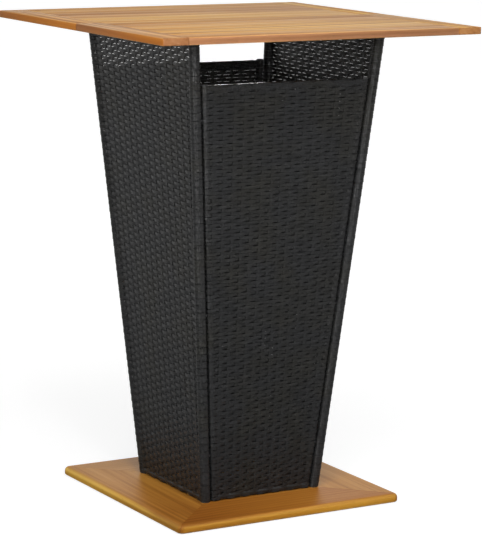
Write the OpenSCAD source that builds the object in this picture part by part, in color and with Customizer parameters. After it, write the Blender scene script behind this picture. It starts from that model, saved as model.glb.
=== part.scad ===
// Square bar table: a slatted top in two halves, a tapered pillar of four woven panels on tube frames,
// and a foot board of four mitred pieces. Its origin is on the floor, under the middle of the table.
// The front faces -Y, and the front and back panels stop short of the top to leave an opening.

/* [Table] */
// Height of the top's surface above the floor
table_h = 1100; // [900:10:1200]
// Side of the square top
top_w = 800; // [700:10:900]
// Thickness of the top's boards
top_t = 16; // [14:1:22]
// Side of the square base
base_w = 578; // [520:2:650]
// Thickness of the base's boards
base_t = 20; // [16:1:28]

/* [Top boards] */
// Width of the end boards, which run across the slats' ends
end_board_w = 60; // [50:1:80]
// Gap between neighbouring boards of the top
board_gap = 0.4; // [0.2:0.1:1]
// Gap between the top's two halves
half_gap = 1; // [0.4:0.2:3]
// Radius of the top's upright corners
top_corner_r = 4; // [2:1:10]
// Diameter of the dowels between slats and end boards
dowel_d = 8; // [6:1:9]
// Length of a dowel
dowel_len = 34; // [24:2:40]
// Distance between the two dowels in one slat's end
dowel_pitch = 34; // [20:2:40]

/* [Battens] */
// Width of the battens under the top
batten_w = 45; // [30:1:60]
// Thickness of the battens
batten_t = 16; // [12:1:20]
// Distance of each batten's middle from the table's middle
batten_x = 120; // [80:5:150]
// Room between a batten's end and the corner posts' inner side
batten_room = 12; // [6:1:30]

/* [Pillar] */
// Width of the pillar across its faces right under the top
pillar_top_w = 502; // [470:2:530]
// Width of the pillar across its faces where it stands on the base
pillar_foot_w = 313; // [300:1:340]
// Height of the open gap between the top's underside and the front and back panels
opening_h = 104; // [70:2:140]
// Diameter of the corner posts' tube
post_d = 22; // [20:0.5:25]
// Diameter of the front and back panels' upright tubes
stile_d = 16; // [16:0.5:18]
// Diameter of the wrapped rails' tube
rail_d = 15; // [13:0.5:15.5]
// Diameter of the middle rails' tube
mid_rail_d = 12; // [10:0.5:12]
// Gap between the woven sheet and the middle rail that lies behind it
mid_rail_gap = 0.3; // [0.2:0.1:0.5]
// Wall of all tubes
tube_wall = 1.2; // [1:0.1:2]
// Gap between a corner post's wrapping and the panel beside it
panel_gap = 1.5; // [1:0.1:3]
// Height of the middle rails above the base
mid_rail_h = 500; // [350:10:650]
// Gap between the front and back panels' uprights and the base
panel_foot_gap = 1.5; // [1:0.1:3]

/* [Weave] */
// Thickness of the strands wrapped round a tube
wrap_t = 1.5; // [1.2:0.1:2]
// Thickness of the woven sheet between the tubes
weave_t = 4.2; // [3:0.1:5]
// How far the woven sheet lies behind the wrapped posts' outer side
weave_inset = 0.8; // [0.4:0.1:2]

/* [Tabs] */
// Thickness of the frames' fixing tabs
tab_t = 3; // [2:0.5:4]
// Width of a tab
tab_w = 36; // [30:1:50]
// Reach of a tab from its rail's middle towards the inside
tab_reach = 36; // [34:1:42]
// Distance of a tab's middle from the middle of its panel
tab_pos = 70; // [50:5:85]
// Room between a screw's head or washer and the end of the tab that it holds down
tab_room = 5; // [3:1:8]
// Depth to which a tab is welded into its rail
weld_bite = 0.5; // [0.2:0.1:1]

/* [Base] */
// Width of the square hole between the base's boards
base_hole_w = 180; // [140:5:190]
// Radius of the rounding along the base's upper outer edge
base_round_top = 10; // [4:1:12]
// Radius of the rounding along the base's lower outer edge
base_round_foot = 5; // [1:0.5:6]
// Radius of the base's upright corners
base_corner_r = 14; // [4:1:16]
// Gap in each mitre of the base
mitre_gap = 0.4; // [0.2:0.1:1]
// Thickness of the splines in the mitres
spline_t = 4; // [3:0.5:6]
// Width of the splines, across the mitre
spline_w = 24; // [16:1:32]
// Length of the splines, along the mitre
spline_len = 150; // [100:5:180]
// Height of the glides that show under the base
glide_h = 2; // [1:0.5:4]
// Diameter of the glides
glide_d = 25; // [18:1:30]
// Distance of a glide's middle from the base's outer edge
glide_edge = 34; // [22:1:50]
// Distance of a glide's middle from the middle of its board
glide_pos = 190; // [150:5:200]
// Diameter of the stem by which a glide is held
glide_stem_d = 6; // [4:0.5:8]
// Length of the stem in the board
glide_stem_len = 11; // [6:1:14]

/* [Fasteners] */
// Diameter of the panel and base bolts
bolt_d = 6; // [5:1:8]
// Diameter of a bolt's round head
bolt_head_d = 11; // [10:0.5:12]
// Height of a bolt's head
bolt_head_h = 3.3; // [3:0.1:4.5]
// Diameter of the washers
washer_d = 13; // [12:0.5:14]
// Thickness of the flat washers, and of the saddle washers on top of the tube
washer_t = 1.4; // [1:0.1:2]
// How far the saddle washers reach down round the tube
saddle_drop = 2; // [1:0.1:2.2]
// Heights of the panel bolts above the base
bolt_z_1 = 110; // [80:5:200]
// Height of the panels' middle bolts above the base
bolt_z_2 = 440; // [350:5:470]
// Height of the panels' upper bolts above the base
bolt_z_3 = 880; // [700:5:890]
// Outer diameter of the threaded inserts in the posts
insert_d = 9; // [8.5:0.5:10]
// Length of the threaded inserts
insert_len = 12; // [9:0.5:14]
// Width across the flats of the base bolts' nuts
nut_af = 10; // [9:0.5:11]
// Thickness of the nuts
nut_h = 5; // [4:0.5:6]
// Depth of the recess for washer and head in the base's underside
base_recess = 6; // [5.5:0.5:8]
// How far the base bolts stand out of their nuts
bolt_end = 2; // [1:0.5:4]
// Diameter of the wood screws
screw_d = 4; // [3:0.5:5]
// Diameter of the wood screws' heads
screw_head_d = 8; // [7:0.5:9]
// Height of the wood screws' heads
screw_head_h = 2.4; // [2:0.1:3]
// Depth to which the wood screws go into the top
screw_bite = 10; // [7:0.5:12]

/* [Fits] */
// Room all round a tube inside its wrapping
wrap_fit = 0.1; // [0.05:0.05:0.3]
// Room all round a dowel, spline, stem or screw in wood
wood_fit = 0.1; // [0.05:0.05:0.3]
// Room all round a bolt in a drilled hole
bolt_fit = 0.3; // [0.2:0.1:0.6]
// Room all round a bolt in its thread, and round an insert in its post
thread_fit = 0.05; // [0.02:0.01:0.1]

/* [Hidden] */
slats = 6;
$fn = 64;
far = 2000;
// How far a cutter runs past what it cuts
over = 1;
HALVES = ["front", "back"];
SIDES = ["left", "right"];
SLAT_NODES = [for (half = HALVES, i = [1 : slats]) str(half, "_slat_", i)];
END_NODES = [for (half = HALVES, side = SIDES) str(half, "_end_board_", side)];

// Heights
top_z = table_h - top_t;
base_top_z = glide_h + base_t;
panel_top_z = top_z - opening_h;
mid_rail_z = base_top_z + mid_rail_h;
bolt_heights = [for (h = [bolt_z_1, bolt_z_2, bolt_z_3]) base_top_z + h];

// The pillar's taper: run is the lean of a face per unit of height
run = (pillar_top_w - pillar_foot_w) / 2 / (top_z - base_top_z);
lean = atan(run);
edge_lean = atan(sin(lean));
function half_w(z) = pillar_foot_w / 2 + run * (z - base_top_z);

// Radii of tubes and of their wrappings
post_r = post_d / 2;
stile_r = stile_d / 2;
rail_r = rail_d / 2;
post_wrap_r = post_r + wrap_fit + wrap_t;
stile_wrap_r = stile_r + wrap_fit + wrap_t;
rail_wrap_r = rail_r + wrap_fit + wrap_t;
bar_depth = post_wrap_r;
weave_depth = bar_depth - stile_wrap_r + weave_inset;
mid_rail_r = mid_rail_d / 2;
mid_rail_depth = weave_depth + weave_t + mid_rail_gap + mid_rail_r;

// A post's middle line at height z, counted from the table's middle, and an upright's beside it
function post_x(z) = half_w(z) - bar_depth / cos(lean);
stile_step = post_wrap_r + panel_gap + stile_wrap_r;
function stile_x(z) = post_x(z) - stile_step / cos(edge_lean);

// A rail clears the board that its tab lies on
rail_rise = tab_t - weld_bite + rail_r;
side_rail_zs = [base_top_z + rail_rise, top_z - rail_rise];
panel_rail_zs = [base_top_z + rail_rise, panel_top_z - stile_wrap_r];

// The way up a face at a height z and a depth behind the face
function climb(z, depth) = (z - base_top_z - depth * sin(lean)) / cos(lean);

// Top boards
inner_x = top_w / 2 - end_board_w;
slat_len = 2 * (inner_x - board_gap);
half_d = (top_w - half_gap) / 2;
slat_w = (half_d - (slats - 1) * board_gap) / slats;
function slat_y(i) = half_gap / 2 + (i - 0.5) * slat_w + (i - 1) * board_gap;
batten_half = post_x(top_z - batten_t) - post_wrap_r - batten_room;

// Base
base_out = base_w / 2;
base_in = base_hole_w / 2;
tab_y = post_x(side_rail_zs[0]);
bolt_in = tab_y - tab_reach + tab_room + washer_d / 2;
spline_at = (base_out + base_in) / 2;

OAK = "burlywood";
BASE_COLOUR = "peru";
STRAND = "dimgray";
STEEL = [0.15, 0.15, 0.16];
ZINC = "silver";
BLACK_ZINC = [0.12, 0.12, 0.13];

// A round bar of radius r from point p to point q
module bar(p, q, r) {
    d = q - p;
    translate(p) rotate([0, acos(d.z / norm(d)), atan2(d.y, d.x)]) cylinder(r = r, h = norm(d));
}

// Keeps what lies between two heights
module between(low, high) {
    intersection() {
        children();
        translate([-far / 2, -far / 2, low]) cube([far, far, high - low]);
    }
}

// The four faces: 0 front, 90 right, 180 back, 270 left. Children are drawn in the face:
// X across it, Y up its slope from the base, Z out of it
module on_face(turn) {
    rotate([0, 0, turn]) translate([0, -pillar_foot_w / 2, base_top_z]) rotate([90 + lean, 0, 0]) children();
}

// Upright bars on both sides of a face, at the distance that the function of height gives
module posts(r, low, high) {
    between(low, high) for (side = [-1, 1])
        bar([side * post_x(low - post_d), -post_x(low - post_d), low - post_d],
            [side * post_x(high + post_d), -post_x(high + post_d), high + post_d], r);
}

module stiles(r, low, high) {
    between(low, high) for (side = [-1, 1])
        bar([side * stile_x(low - post_d), -post_x(low - post_d), low - post_d],
            [side * stile_x(high + post_d), -post_x(high + post_d), high + post_d], r);
}

// A level rail between two uprights that stand reach from the middle. It lies depth behind the face
module rail(z, reach, r, depth = bar_depth) {
    translate([-reach, depth / cos(lean) - half_w(z), z]) rotate([0, 90, 0]) cylinder(r = r, h = 2 * reach);
}

module mid_rail(reach, r) { rail(mid_rail_z, reach, r, mid_rail_depth); }

// Foot tabs lie on the base, top tabs under the top. grow is the room round them
module foot_tabs(grow = 0) {
    for (side = [-1, 1])
        translate([side * tab_pos - tab_w / 2 - grow, -tab_y - grow, base_top_z - (grow > 0 ? over : 0)])
            cube([tab_w + 2 * grow, tab_reach + 2 * grow, tab_t + grow + (grow > 0 ? over : 0)]);
}

module top_tabs(grow = 0) {
    for (side = [-1, 1])
        translate([side * tab_pos - tab_w / 2 - grow, -post_x(side_rail_zs[1]) - grow, top_z - tab_t - grow])
            cube([tab_w + 2 * grow, tab_reach + 2 * grow, tab_t + grow + (grow > 0 ? over : 0)]);
}

// Places for what repeats
module at_foot_bolts() {
    for (side = [-1, 1]) translate([side * tab_pos, -bolt_in, 0]) children();
}

module at_top_screws() {
    for (side = [-1, 1])
        translate([side * tab_pos, -post_x(side_rail_zs[1]) + tab_reach - tab_room - screw_head_d / 2, 0])
            children();
}

// A panel bolt's middle line, from an upright's middle towards the corner post
module at_panel_bolts() {
    for (side = [0, 1]) mirror([side, 0, 0]) for (z = bolt_heights)
        translate([stile_x(z), climb(z, bar_depth), -bar_depth]) rotate([0, 0, -edge_lean])
            rotate([0, 90, 0]) children();
}

module at_glides() {
    for (turn = [0 : 90 : 270], side = [-1, 1])
        rotate([0, 0, turn]) translate([side * glide_pos, -base_out + glide_edge, 0]) children();
}

module at_splines() {
    for (turn = [45 : 90 : 315])
        rotate([0, 0, turn]) translate([spline_at * sqrt(2), 0, glide_h + base_t / 2]) children();
}

// Side frames

module side_bars(grow) {
    posts(post_r + grow, base_top_z, top_z);
    for (z = side_rail_zs) rail(z, post_x(z), rail_r + grow);
    mid_rail(post_x(mid_rail_z), mid_rail_r + grow);
}

module side_bores() {
    posts(post_r - tube_wall, base_top_z - over, top_z + over);
    for (z = side_rail_zs) rail(z, post_x(z), rail_r - tube_wall);
    mid_rail(post_x(mid_rail_z), mid_rail_r - tube_wall);
}

module side_frame(turn) {
    color(STEEL) difference() {
        rotate([0, 0, turn]) difference() {
            union() {
                side_bars(0);
                foot_tabs();
                top_tabs();
            }
            side_bores();
            at_foot_bolts() cylinder(d = bolt_d + 2 * bolt_fit, h = table_h / 2);
            at_top_screws() translate([0, 0, table_h / 2]) cylinder(d = screw_d + 2 * wood_fit, h = table_h);
        }
        for (face = [0, 180]) on_face(face) at_panel_bolts()
            translate([0, 0, stile_step - post_r - wrap_t])
                cylinder(d = insert_d + 2 * thread_fit, h = post_r);
    }
}

module left_side_frame() { side_frame(270); }
module right_side_frame() { side_frame(90); }

// Front and back panel frames

module panel_bars(grow) {
    stiles(stile_r + grow, base_top_z + panel_foot_gap, panel_top_z);
    for (z = panel_rail_zs) rail(z, stile_x(z), rail_r + grow);
    mid_rail(stile_x(mid_rail_z), mid_rail_r + grow);
}

module panel_bores() {
    stiles(stile_r - tube_wall, base_top_z, panel_top_z + over);
    for (z = panel_rail_zs) rail(z, stile_x(z), rail_r - tube_wall);
    mid_rail(stile_x(mid_rail_z), mid_rail_r - tube_wall);
}

module panel_frame(turn) {
    color(STEEL) difference() {
        rotate([0, 0, turn]) difference() {
            union() {
                panel_bars(0);
                foot_tabs();
            }
            panel_bores();
            at_foot_bolts() cylinder(d = bolt_d + 2 * bolt_fit, h = table_h / 2);
        }
        on_face(turn) at_panel_bolts()
            translate([0, 0, -stile_d]) cylinder(d = bolt_d + 2 * bolt_fit, h = 2 * stile_d);
    }
}

module front_panel_frame() { panel_frame(0); }
module back_panel_frame() { panel_frame(180); }

// Weaves: the woven sheet and the wrappings round the tubes, as plain skins

// The sheet spans from one upright's middle line to the other's
module sheet(low, high, low_reach, high_reach) {
    translate([0, 0, -weave_depth - weave_t]) linear_extrude(weave_t)
        polygon([[-low_reach, low], [low_reach, low], [high_reach, high], [-high_reach, high]]);
}

module side_weave(turn) {
    low = side_rail_zs[0];
    high = side_rail_zs[1];
    color(STRAND) difference() {
        rotate([0, 0, turn]) difference() {
            union() {
                posts(post_wrap_r, base_top_z, top_z);
                rail(low, post_x(low), rail_wrap_r);
                rail(high, post_x(high), rail_wrap_r);
                on_face(0)
                    sheet(climb(low, weave_depth), climb(high, weave_depth), post_x(low), post_x(high));
            }
            side_bars(wrap_fit);
            foot_tabs(wrap_fit);
            top_tabs(wrap_fit);
        }
        for (face = [0, 180]) on_face(face) at_panel_bolts()
            translate([0, 0, stile_step - post_wrap_r - panel_gap / 2])
                cylinder(d = insert_d + 2 * wrap_fit, h = post_r);
    }
}

module left_weave() { side_weave(270); }
module right_weave() { side_weave(90); }

module panel_weave(turn) {
    low = panel_rail_zs[0];
    high = panel_rail_zs[1];
    color(STRAND) difference() {
        rotate([0, 0, turn]) difference() {
            union() {
                stiles(stile_wrap_r, base_top_z + panel_foot_gap, panel_top_z);
                rail(low, stile_x(low), rail_wrap_r);
                rail(high, stile_x(high), rail_wrap_r);
                on_face(0)
                    sheet(climb(low, weave_depth), climb(high, weave_depth), stile_x(low), stile_x(high));
            }
            panel_bars(wrap_fit);
            foot_tabs(wrap_fit);
        }
        on_face(turn) at_panel_bolts() {
            translate([0, 0, -stile_d]) cylinder(d = bolt_d + 2 * bolt_fit, h = 2 * stile_d);
            translate([0, 0, -2 * stile_d]) cylinder(d = washer_d + 2 * bolt_fit, h = 2 * stile_d);
        }
    }
}

module front_weave() { panel_weave(0); }
module back_weave() { panel_weave(180); }

// Fasteners of the front and back panels

module panel_bolts() {
    head_z = -stile_r - washer_t;
    end_z = stile_step - post_r + insert_len - bolt_end;
    color(BLACK_ZINC) for (face = [0, 180]) on_face(face) at_panel_bolts() {
        translate([0, 0, head_z - bolt_head_h]) cylinder(d = bolt_head_d, h = bolt_head_h);
        translate([0, 0, head_z]) cylinder(d = bolt_d, h = end_z - head_z);
    }
}

module panel_saddle_washers() {
    color(BLACK_ZINC) for (face = [0, 180]) on_face(face) at_panel_bolts() difference() {
        translate([0, 0, -stile_r - washer_t]) cylinder(d = washer_d, h = washer_t + saddle_drop);
        rotate([90, 0, 0]) cylinder(r = stile_r + thread_fit, h = 2 * washer_d, center = true);
        translate([0, 0, -stile_d]) cylinder(d = bolt_d + 2 * bolt_fit, h = stile_d);
    }
}

module panel_inserts() {
    color(BLACK_ZINC) for (face = [0, 180]) on_face(face) at_panel_bolts()
        translate([0, 0, stile_step - post_r]) difference() {
            cylinder(d = insert_d, h = insert_len);
            translate([0, 0, -over]) cylinder(d = bolt_d + 2 * thread_fit, h = insert_len + 2 * over);
        }
}

// Top

module top_outline() {
    r = top_corner_r;
    translate([0, 0, top_z]) union() {
        translate([-top_w / 2 + r, -top_w / 2, 0]) cube([top_w - 2 * r, top_w, top_t]);
        translate([-top_w / 2, -top_w / 2 + r, 0]) cube([top_w, top_w - 2 * r, top_t]);
        for (x = [-1, 1], y = [-1, 1])
            translate([x * (top_w / 2 - r), y * (top_w / 2 - r), 0]) cylinder(r = r, h = top_t);
    }
}

module dowels(grow) {
    for (x = [-1, 1], half = [-1, 1], i = [1 : slats], step = [-0.5, 0.5])
        translate([x * inner_x, half * slat_y(i) + step * dowel_pitch, top_z + top_t / 2]) rotate([0, 90, 0])
            cylinder(d = dowel_d + 2 * grow, h = dowel_len + 2 * grow, center = true);
}

module at_batten_screws(x) {
    for (half = [-1, 1], i = [1 : slats])
        if (slat_y(i) + screw_head_d < batten_half) translate([x, half * slat_y(i), 0]) children();
}

module top_screw_holes() {
    hole_h = screw_bite + wood_fit;
    for (x = [-1, 1]) at_batten_screws(x * batten_x)
        translate([0, 0, top_z - over]) cylinder(d = screw_d + 2 * wood_fit, h = hole_h + over);
    for (turn = [90, 270]) rotate([0, 0, turn]) at_top_screws()
        translate([0, 0, top_z - over]) cylinder(d = screw_d + 2 * wood_fit, h = hole_h + over);
}

// Slat i of a half, counted from the middle of the table: half is -1 in front and 1 behind
module slat(half, i) {
    color(OAK) difference() {
        translate([-slat_len / 2, half * slat_y(i) - slat_w / 2, top_z]) cube([slat_len, slat_w, top_t]);
        dowels(wood_fit);
        top_screw_holes();
    }
}

module end_board(half, side) {
    color(OAK) difference() {
        intersection() {
            top_outline();
            translate([side < 0 ? -top_w / 2 : inner_x, half < 0 ? -top_w / 2 : half_gap / 2, top_z])
                cube([end_board_w, half_d, top_t]);
        }
        dowels(wood_fit);
    }
}

module slat_dowels() { color("wheat") dowels(0); }

module batten(side) {
    color(OAK) difference() {
        translate([side * batten_x - batten_w / 2, -batten_half, top_z - batten_t])
            cube([batten_w, 2 * batten_half, batten_t]);
        at_batten_screws(side * batten_x) translate([0, 0, top_z - 2 * batten_t])
            cylinder(d = screw_d + 2 * wood_fit, h = 3 * batten_t);
        at_batten_screws(side * batten_x) translate([0, 0, top_z - batten_t - over])
            cylinder(d = screw_head_d + 2 * wood_fit, h = screw_head_h + wood_fit + over);
    }
}

module batten_left() { batten(-1); }
module batten_right() { batten(1); }

// A wood screw whose head starts at height z and whose tip goes screw_bite into the top
module wood_screw(z) {
    translate([0, 0, z]) cylinder(d = screw_head_d, h = screw_head_h);
    translate([0, 0, z + screw_head_h]) cylinder(d = screw_d, h = top_z + screw_bite - z - screw_head_h);
}

module batten_screws() {
    color(ZINC) for (x = [-1, 1]) at_batten_screws(x * batten_x) wood_screw(top_z - batten_t);
}

module top_screws() {
    color(ZINC) for (turn = [90, 270])
        rotate([0, 0, turn]) at_top_screws() wood_screw(top_z - tab_t - screw_head_h);
}

// Base

// The base's outer edge in section, from the hole at the left to the rounded edge at the right
module base_section() {
    module corner(r, up) {
        translate([base_out - r, up > 0 ? base_t - r : 0]) difference() {
            square([r, r]);
            translate([0, up > 0 ? 0 : r]) circle(r);
        }
    }
    difference() {
        translate([base_in, 0]) square([base_out - base_in, base_t]);
        corner(base_round_top, 1);
        corner(base_round_foot, -1);
    }
}

module base_board(turn) {
    r = base_corner_r;
    color(BASE_COLOUR) difference() {
        rotate([0, 0, turn]) intersection() {
            translate([base_out, 0, glide_h]) rotate([90, 0, -90])
                linear_extrude(2 * base_out) base_section();
            linear_extrude(table_h) polygon([
                [0, -mitre_gap / sqrt(2)], [-base_out, -base_out - mitre_gap / sqrt(2)],
                [base_out, -base_out - mitre_gap / sqrt(2)]]);
            union() {
                translate([-base_out + r, -base_out, 0]) cube([2 * (base_out - r), base_out, table_h]);
                translate([-base_out, -base_out + r, 0]) cube([2 * base_out, base_out - r, table_h]);
                for (side = [-1, 1])
                    translate([side * (base_out - r), -base_out + r, 0]) cylinder(r = r, h = table_h);
            }
        }
        rotate([0, 0, turn]) at_foot_bolts() {
            translate([0, 0, -over]) cylinder(d = bolt_d + 2 * bolt_fit, h = table_h);
            translate([0, 0, glide_h - over]) cylinder(d = washer_d + 2 * bolt_fit, h = base_recess + over);
        }
        at_splines() cube([spline_len + 2 * wood_fit, spline_w + 2 * wood_fit, spline_t + 2 * wood_fit],
            center = true);
        at_glides() cylinder(d = glide_stem_d + 2 * wood_fit, h = glide_h + glide_stem_len + wood_fit);
    }
}

module base_front() { base_board(0); }
module base_right() { base_board(90); }
module base_back() { base_board(180); }
module base_left() { base_board(270); }

module mitre_splines() {
    color("wheat") at_splines() cube([spline_len, spline_w, spline_t], center = true);
}

module base_bolts() {
    head_z = glide_h + base_recess - washer_t;
    end_z = base_top_z + tab_t + nut_h + bolt_end;
    color(ZINC) for (turn = [0 : 90 : 270]) rotate([0, 0, turn]) at_foot_bolts() {
        translate([0, 0, head_z - bolt_head_h]) cylinder(d = bolt_head_d, h = bolt_head_h);
        translate([0, 0, head_z]) cylinder(d = bolt_d, h = end_z - head_z);
    }
}

module base_washers() {
    color(ZINC) for (turn = [0 : 90 : 270]) rotate([0, 0, turn]) at_foot_bolts()
        translate([0, 0, glide_h + base_recess - washer_t]) difference() {
            cylinder(d = washer_d, h = washer_t);
            translate([0, 0, -over]) cylinder(d = bolt_d + 2 * bolt_fit, h = washer_t + 2 * over);
        }
}

module base_nuts() {
    color(ZINC) for (turn = [0 : 90 : 270]) rotate([0, 0, turn]) at_foot_bolts()
        translate([0, 0, base_top_z + tab_t]) difference() {
            cylinder(d = nut_af / cos(30), h = nut_h, $fn = 6);
            translate([0, 0, -over]) cylinder(d = bolt_d + 2 * thread_fit, h = nut_h + 2 * over);
        }
}

module glides() {
    color("black") at_glides() {
        cylinder(d = glide_d, h = glide_h);
        translate([0, 0, glide_h]) cylinder(d = glide_stem_d, h = glide_stem_len);
    }
}

for (h = [0, 1], i = [1 : slats])
    slat(2 * h - 1, i);
for (h = [0, 1], s = [0, 1])
    end_board(2 * h - 1, 2 * s - 1);
slat_dowels();
batten_left();
batten_right();
batten_screws();
top_screws();
left_side_frame();
right_side_frame();
front_panel_frame();
back_panel_frame();
left_weave();
right_weave();
front_weave();
back_weave();
panel_bolts();
panel_saddle_washers();
panel_inserts();
base_front();
base_back();
base_left();
base_right();
mitre_splines();
base_bolts();
base_washers();
base_nuts();
glides();
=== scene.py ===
"""Looks of a square bar table: a wooden top in two halves, a tapered pillar of four woven panels and a mitred base.

All lengths are in metres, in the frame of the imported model. The front faces -Y.
"""

import logging
import math
from dataclasses import dataclass, field
from enum import Enum

import bmesh
import bpy
from mathutils import Matrix, Vector


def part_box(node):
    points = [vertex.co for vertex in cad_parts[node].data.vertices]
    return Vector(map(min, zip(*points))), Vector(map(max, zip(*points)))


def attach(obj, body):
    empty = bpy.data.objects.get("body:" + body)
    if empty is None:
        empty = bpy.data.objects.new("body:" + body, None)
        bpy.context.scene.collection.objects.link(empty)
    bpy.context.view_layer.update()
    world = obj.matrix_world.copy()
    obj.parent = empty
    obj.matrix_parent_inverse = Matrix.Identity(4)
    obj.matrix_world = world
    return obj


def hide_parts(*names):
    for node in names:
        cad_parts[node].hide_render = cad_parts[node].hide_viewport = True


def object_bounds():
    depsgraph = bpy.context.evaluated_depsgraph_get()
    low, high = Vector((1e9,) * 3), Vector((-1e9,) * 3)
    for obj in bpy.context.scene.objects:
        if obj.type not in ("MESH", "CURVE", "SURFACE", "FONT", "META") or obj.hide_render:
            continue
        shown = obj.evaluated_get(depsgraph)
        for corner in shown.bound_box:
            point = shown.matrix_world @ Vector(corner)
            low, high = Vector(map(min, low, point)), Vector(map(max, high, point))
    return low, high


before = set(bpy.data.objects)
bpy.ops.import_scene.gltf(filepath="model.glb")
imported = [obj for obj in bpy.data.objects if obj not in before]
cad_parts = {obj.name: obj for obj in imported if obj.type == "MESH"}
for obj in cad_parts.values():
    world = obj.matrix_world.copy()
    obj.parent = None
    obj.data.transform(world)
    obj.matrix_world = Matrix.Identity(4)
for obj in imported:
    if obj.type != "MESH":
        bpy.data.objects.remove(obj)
CAD_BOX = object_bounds()
LOG = logging.getLogger("bar_table")
BODY = "root"
QUARTER = math.pi / 2
SMOOTH_ANGLE = 0.7
SHARP_ANGLE = 1.2
RIM_PLAY = 1e-5
TINY = 1e-6
Mesh = bpy.types.Mesh
Material = bpy.types.Material
Socket = bpy.types.NodeSocket
Value = float | int | tuple | str | Socket | Material
Pair = tuple[float, float]
Triple = tuple[float, float, float]
Colour = Triple
WHITE: Colour = (1.0, 1.0, 1.0)


class Face(Enum):
    """The pillar's four faces, each with the turn about Z that brings the front face to it."""

    FRONT = 0
    RIGHT = 90
    BACK = 180
    LEFT = 270


class Grain(Enum):
    """The way a board's grain runs, as the turn about Z that brings it to the X axis."""

    ALONG_X = 0.0
    ALONG_Y = QUARTER


class Graph:
    """Adds nodes to a tree and joins them."""

    def __init__(self, tree: bpy.types.NodeTree) -> None:
        """Keeps the tree.

        Args:
            tree: A geometry or shader node tree.
        """
        self.tree = tree

    def feed(self, node: bpy.types.Node, values: dict[str | int, Value]) -> None:
        """Fills a node's inputs.

        Args:
            node: The node.
            values: What goes into its inputs: a socket to link, or a plain value.
        """
        for key, value in values.items():
            if isinstance(value, Socket):
                self.tree.links.new(value, node.inputs[key])
            else:
                node.inputs[key].default_value = value

    def add(self, kind: str, values: dict[str | int, Value] | None = None, **settings: object) -> bpy.types.Node:
        """Adds a node.

        Args:
            kind: The node's type name.
            values: What goes into its inputs.
            **settings: The node's own properties.

        Returns:
            The node.
        """
        node = self.tree.nodes.new(kind)
        for name, setting in settings.items():
            setattr(node, name, setting)
        self.feed(node, values or {})
        return node

    def out(self, kind: str, values: dict[str | int, Value] | None = None, **settings: object) -> Socket:
        """Adds a node and returns its first output."""
        return self.add(kind, values, **settings).outputs[0]

    def math(self, operation: str, *values: Value, clamp: bool = False) -> Socket:
        """Adds a Math node and returns its output.

        Args:
            operation: The Math node's operation.
            *values: Its inputs in order.
            clamp: Whether the result is kept between 0 and 1.

        Returns:
            The output socket.
        """
        return self.out("ShaderNodeMath", dict(enumerate(values)), operation=operation, use_clamp=clamp)

    def plus(self, first: Value, second: Value) -> Socket:
        """Adds two numbers."""
        return self.math("ADD", first, second)

    def minus(self, first: Value, second: Value) -> Socket:
        """Takes the second number from the first."""
        return self.math("SUBTRACT", first, second)

    def times(self, first: Value, second: Value) -> Socket:
        """Multiplies two numbers."""
        return self.math("MULTIPLY", first, second)

    def fused(self, first: Value, second: Value, third: Value) -> Socket:
        """Multiplies two numbers and adds a third."""
        return self.math("MULTIPLY_ADD", first, second, third)

    def vector(self, operation: str, *values: Value) -> Socket:
        """Adds a Vector Math node and returns its vector output."""
        return self.out("ShaderNodeVectorMath", dict(enumerate(values)), operation=operation)

    def xyz(self, x: Value, y: Value, z: Value) -> Socket:
        """Joins three numbers into a vector."""
        return self.out("ShaderNodeCombineXYZ", {0: x, 1: y, 2: z})

    def scaled(self, vector: Value, factor: Value) -> Socket:
        """Multiplies a vector by a number."""
        return self.out("ShaderNodeVectorMath", {0: vector, "Scale": factor}, operation="SCALE")

    def mix(self, factor: Value, first: Value, second: Value) -> Socket:
        """Blends two numbers: factor 0 gives the first and 1 the second."""
        return self.fused(self.minus(second, first), factor, first)

    def split(self, vector: Socket) -> tuple[Socket, ...]:
        """Splits a vector into its three numbers."""
        return tuple(self.add("ShaderNodeSeparateXYZ", {0: vector}).outputs)

    def blend(self, factor: Value, first: Colour, second: Colour) -> Socket:
        """Blends two colours: factor 0 gives the first and 1 the second."""
        values = {0: factor, 6: (*first, 1.0), 7: (*second, 1.0)}
        return self.add("ShaderNodeMix", values, data_type="RGBA").outputs[2]

    def spread(self, value: Value, low: Value, high: Value, to_low: Value = 0.0, to_high: Value = 1.0) -> Socket:
        """Maps a range of numbers onto another, without going past its ends.

        Args:
            value: The number to map.
            low: Where the first range starts.
            high: Where the first range ends.
            to_low: What low becomes.
            to_high: What high becomes.

        Returns:
            The output socket.
        """
        return self.out("ShaderNodeMapRange", {0: value, 1: low, 2: high, 3: to_low, 4: to_high})

    def noise(self, place: Value, scale: float, detail: float) -> Socket:
        """Returns the value of soft noise, from 0 to 1 and mostly near 0.5."""
        return self.out("ShaderNodeTexNoise", {"Vector": place, "Scale": scale, "Detail": detail})

    def object_place(self) -> Socket:
        """Returns the Object coordinates, which are the table's own frame."""
        return self.add("ShaderNodeTexCoord").outputs["Object"]

    def bump(self, height: Value, strength: float, distance: float) -> Socket:
        """Returns the normal of a surface with fine relief."""
        return self.out("ShaderNodeBump", {"Height": height, "Strength": strength, "Distance": distance})


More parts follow.
